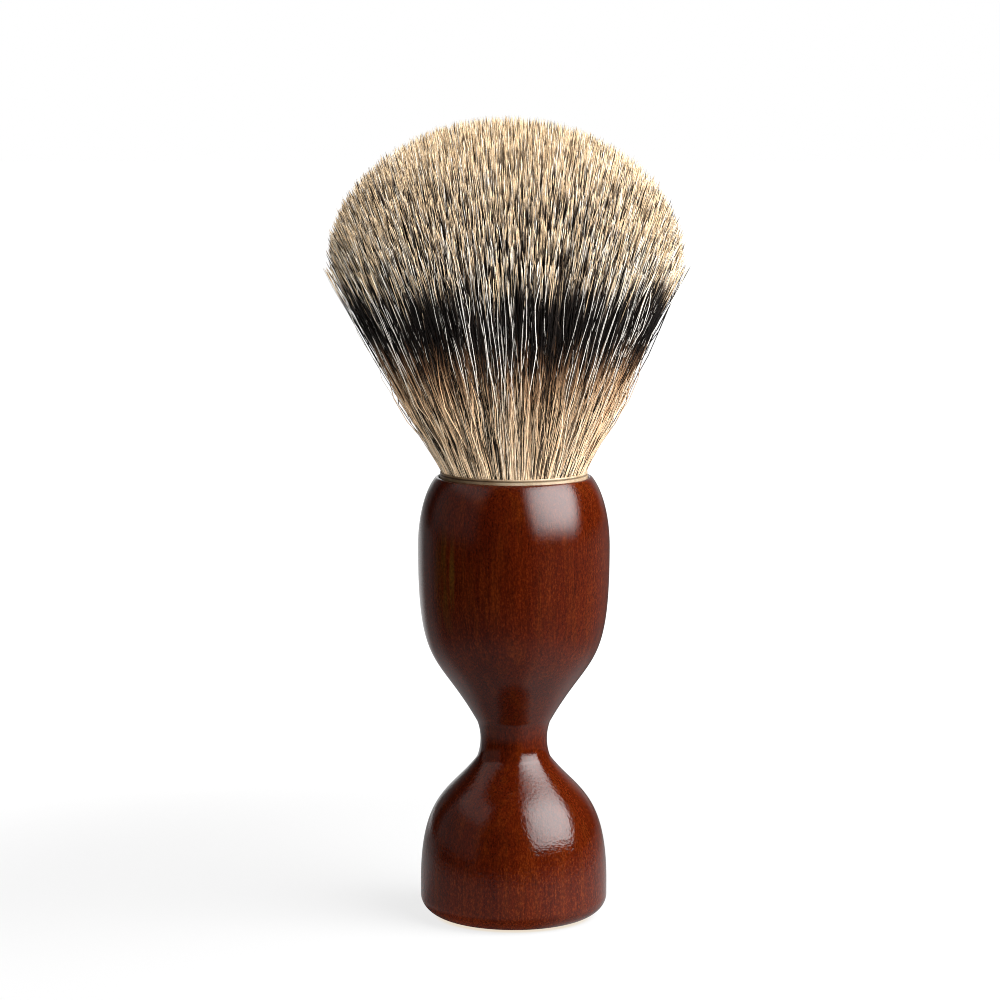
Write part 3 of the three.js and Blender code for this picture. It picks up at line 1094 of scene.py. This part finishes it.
# Each lamp's name, its direction round and upward in degrees, and its power.
hair_lamps = [
    ("hair_front", 41, -12, 8.5),
    ("hair_top", -2, 34, 7.4),
    ("hair_back", 178, 40, 5.5),
]
# Directions in degrees, round from the front or upward, between which the room's light changes.
wall_height = (-32, 60)
wall_low_part = (-12, 8)
wall_narrowing = (6, 28)
wall_right_start = (138, 162)
wall_left_fade = (-176, -152)
wall_left_high_fade = (-174, -158)
wall_left_end = (-142, -137)
panel_width = (-121, -47)
panel_height = (1, 59)
panel_step = (29, 40)
room_glow = 0.012


def area_lamp(name, azimuth, elevation, distance, size, power, lift=0):
    """A rectangular light that faces the brush from a direction given in degrees."""
    data = bpy.data.lights.new(name, "AREA")
    data.shape = "RECTANGLE"
    data.size, data.size_y = size
    data.energy = power
    turn = math.radians(azimuth)
    tilt = math.radians(elevation)
    outward = np.array([math.sin(turn), -math.cos(turn), 0])
    up = np.array([0, 0, 1])
    away = outward * math.cos(tilt) + up * math.sin(tilt)
    upward = up * math.cos(tilt) - outward * math.sin(tilt)
    lamp = add_object(name, data)
    lamp.location = up * lamp_target_height + away * distance + upward * lift
    lamp.rotation_mode = "XYZ"
    lamp.rotation_euler = (math.pi / 2 - tilt, 0, turn)
    lamp.visible_camera = False
    return lamp


def fill_lamp(name, azimuth, elevation, power):
    """A broad, weak lamp that the lacquer doesn't mirror."""
    lamp = area_lamp(name, azimuth, elevation, fill_distance, fill_size, power)
    lamp.visible_glossy = False
    return lamp


def shape_softbox(lamp):
    """Gives the softbox its slanting sides, soft edges and bright middle, in metres on its face."""
    lamp.data.use_nodes = True
    tree = lamp.data.node_tree
    face_place = add_node(tree, "NewGeometry").outputs["Parametric"]
    across, upward, _ = split_place(tree, face_place)
    across = math_node(tree, "MULTIPLY_ADD", across, softbox_width, -softbox_width / 2)
    low_edge = softbox_lift - softbox_height / 2
    upward = math_node(tree, "MULTIPLY_ADD", upward, softbox_height, low_edge)
    place = add_node(tree, "CombineXYZ", {0: across, 1: upward}).outputs[0]
    off_middle = add_node(tree, "VectorMath", {0: place, 1: softbox_middle}, operation="DISTANCE")
    glow = spread(tree, off_middle.outputs["Value"], *softbox_glow, 1.0, 0.5)
    for point, inward, soft in softbox_edges:
        offset = -(point[0] * inward[0] + point[1] * inward[1])
        beyond = add_node(tree, "VectorMath", {0: place, 1: (*inward, 0)}, operation="DOT_PRODUCT")
        inside = total(tree, beyond.outputs["Value"], offset)
        glow = product(tree, glow, spread(tree, inside, -soft, soft))
    tree.links.new(glow, tree.nodes["Emission"].inputs["Strength"])


def window(tree, value, low, high, soft):
    """One inside a range of a value and zero outside, with soft edges."""
    opening = spread(tree, value, low - soft, low + soft)
    closing = spread(tree, value, high - soft, high + soft, 1.0, 0.0)
    return product(tree, opening, closing)


def wall_light(tree, azimuth, elevation):
    """Brightness of the wall behind: a bright left half that narrows upward, and a dim right half."""
    left_end = spread(tree, azimuth, *wall_left_end, 1.0, 0.0)
    left_fade = spread(tree, azimuth, *wall_left_fade, 1.1, 0.1)
    high_up = spread(tree, elevation, *wall_narrowing)
    high_fade = spread(tree, azimuth, *wall_left_high_fade, 1.0, 0.1)
    high_loss = math_node(tree, "SUBTRACT", high_fade, 1.0)
    high_left = math_node(tree, "MULTIPLY_ADD", high_up, high_loss, 1.0)
    left = product(tree, left_end, left_fade, high_left)
    right = spread(tree, azimuth, *wall_right_start, 0.0, 0.26)
    right = product(tree, right, spread(tree, elevation, *wall_low_part, 2.0, 1.0))
    return product(tree, total(tree, left, right), window(tree, elevation, *wall_height, soft=10))


def panel_light(tree, azimuth, elevation):
    """Brightness of the panel at the left, which is dimmer in its lower half."""
    sides = window(tree, azimuth, *panel_width, soft=6)
    ends = window(tree, elevation, *panel_height, soft=4)
    return product(tree, sides, ends, spread(tree, elevation, *panel_step, 0.12, 0.42))


def dark_studio():
    """The room that the lacquer mirrors, by direction in degrees; the camera sees plain white."""
    white = (1, 1, 1, 1)
    world = bpy.data.worlds.new("studio")
    world.use_nodes = True
    tree = world.node_tree
    tree.nodes.clear()
    direction = add_node(tree, "TexCoord").outputs["Generated"]
    aside, behind, upward = split_place(tree, direction)
    azimuth = math_node(tree, "ARCTAN2", aside, product(tree, behind, -1.0))
    azimuth = math_node(tree, "DEGREES", azimuth)
    elevation = math_node(tree, "DEGREES", math_node(tree, "ARCSINE", upward))
    wall = wall_light(tree, azimuth, elevation)
    light = total(tree, wall, panel_light(tree, azimuth, elevation), room_glow)
    room = add_node(tree, "Background", {"Color": white, "Strength": light})
    backdrop = add_node(tree, "Background", {"Color": white, "Strength": 1.0})
    seen = add_node(tree, "LightPath").outputs["Is Camera Ray"]
    shown = add_node(tree, "MixShader", {0: seen, 1: room.outputs[0], 2: backdrop.outputs[0]})
    add_node(tree, "OutputWorld", {"Surface": shown.outputs[0]})
    return world


softbox = area_lamp(
    "key_softbox",
    softbox_azimuth,
    softbox_elevation,
    softbox_distance,
    (softbox_width, softbox_height),
    softbox_power,
    softbox_lift,
)
shape_softbox(softbox)
fill_lamp("left_fill", azimuth=-60, elevation=5, power=0.3)
lit_hair = bpy.data.collections.new("lit_hair")
for hair_piece in hair_pieces:
    lit_hair.objects.link(hair_piece)
for name, azimuth, elevation, power in hair_lamps:
    hair_lamp = fill_lamp(name, azimuth, elevation, power)
    hair_lamp.light_linking.receiver_collection = lit_hair
bpy.context.scene.world = dark_studio()
bpy.context.scene.view_settings.view_transform = "Standard"


# Camera.
# A long lens at the photograph's place, a little above the brush and looking slightly down on it.
# Its pixel filter is narrower than usual, because the photograph is crisp.
camera_place = (-1.97 * mm, -520 * mm, 127.14 * mm)
camera_pitch = math.radians(7.32)
film_width = 36
lens_length = 132.4
nearest_seen = 10 * mm
farthest_seen = 20000 * mm
pixel_filter = 1.0

camera_data = bpy.data.cameras.new("camera")
camera_data.sensor_fit = "HORIZONTAL"
camera_data.sensor_width = film_width
camera_data.lens = lens_length
camera_data.clip_start = nearest_seen
camera_data.clip_end = farthest_seen
camera = add_object("camera", camera_data)
camera.location = camera_place
camera.rotation_euler = (math.pi / 2 - camera_pitch, 0, 0)
bpy.context.scene.camera = camera
bpy.context.scene.cycles.filter_width = pixel_filter
